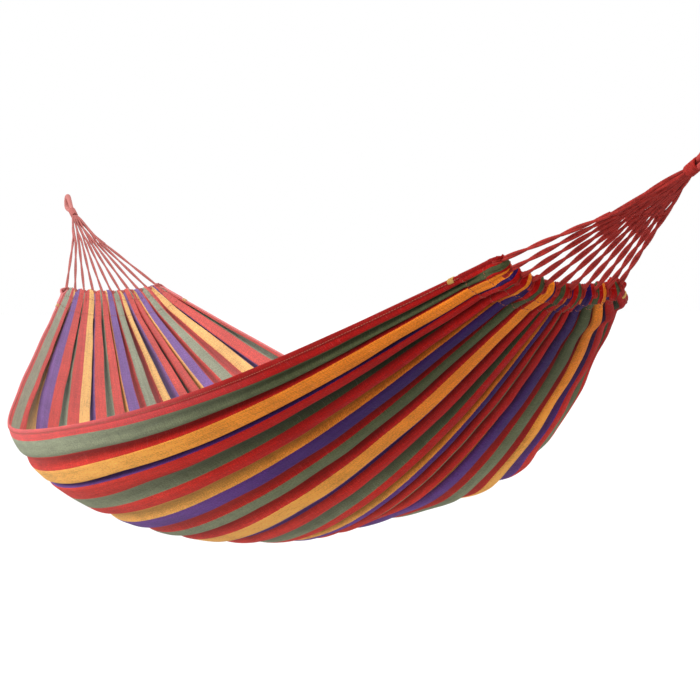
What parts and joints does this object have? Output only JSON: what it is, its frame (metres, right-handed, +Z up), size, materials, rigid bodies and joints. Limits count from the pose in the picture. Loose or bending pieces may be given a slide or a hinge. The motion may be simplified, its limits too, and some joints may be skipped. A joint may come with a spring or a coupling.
{
  "type": "hammock",
  "caption": "Striped fabric hammock: a curved cloth bed gathered at each end on a header rope, with taut suspension cords braided up to a rope eye.",
  "frame": {"origin": "where the left hanging eye bears on its hook", "axes": "+X from the left eye to the right eye, -Y the near side of the bed, +Z up"},
  "size_m": [2.6165, 0.6016, 0.4542],
  "materials": {
    "striped_canvas": "heathered cotton canvas with lengthwise stripes of red, grey green, ochre and purple",
    "side_hem": "folded red canvas edge with a line of stitching",
    "header_rope": "twisted cotton rope",
    "cotton_cord": "soft two-strand twisted cotton cord",
    "whipping_cord": "tightly wound cotton cord",
    "eye_rope": "cotton rope served with cord",
    "stitch_thread": "yellow sewing thread"
  },
  "bodies": {
    "hanging_eyes": {"left_eye_loop": "eye_rope", "right_eye_loop": "eye_rope"},
    "bed": {"cloth_bed": "striped_canvas", "near_side_hem": "side_hem", "far_side_hem": "side_hem", "left_end_channel": "striped_canvas", "left_header_rope": "header_rope", "left_clew_braid": "cotton_cord", "left_neck_whipping": "whipping_cord", "left_near_corner_stitch": "stitch_thread", "left_far_corner_stitch": "stitch_thread", "right_end_channel": "striped_canvas", "right_header_rope": "header_rope", "right_clew_braid": "cotton_cord", "right_neck_whipping": "whipping_cord", "right_near_corner_stitch": "stitch_thread", "right_far_corner_stitch": "stitch_thread", "left_cord_01": "cotton_cord", "left_cord_02": "cotton_cord", "left_cord_03": "cotton_cord", "left_cord_04": "cotton_cord", "left_cord_05": "cotton_cord", "left_cord_06": "cotton_cord", "left_cord_07": "cotton_cord", "left_cord_08": "cotton_cord", "left_cord_09": "cotton_cord", "left_cord_10": "cotton_cord", "left_cord_11": "cotton_cord", "right_cord_01": "cotton_cord", "right_cord_02": "cotton_cord", "right_cord_03": "cotton_cord", "right_cord_04": "cotton_cord", "right_cord_05": "cotton_cord", "right_cord_06": "cotton_cord", "right_cord_07": "cotton_cord", "right_cord_08": "cotton_cord", "right_cord_09": "cotton_cord", "right_cord_10": "cotton_cord", "right_cord_11": "cotton_cord"}
  },
  "joints": [
    {"name": "bed_swing", "type": "hinge", "parent": "hanging_eyes", "child": "bed", "pos_m": [0, 0, 0], "axis": [1, 0, 0], "range_deg": [-30, 30]}
  ]
}
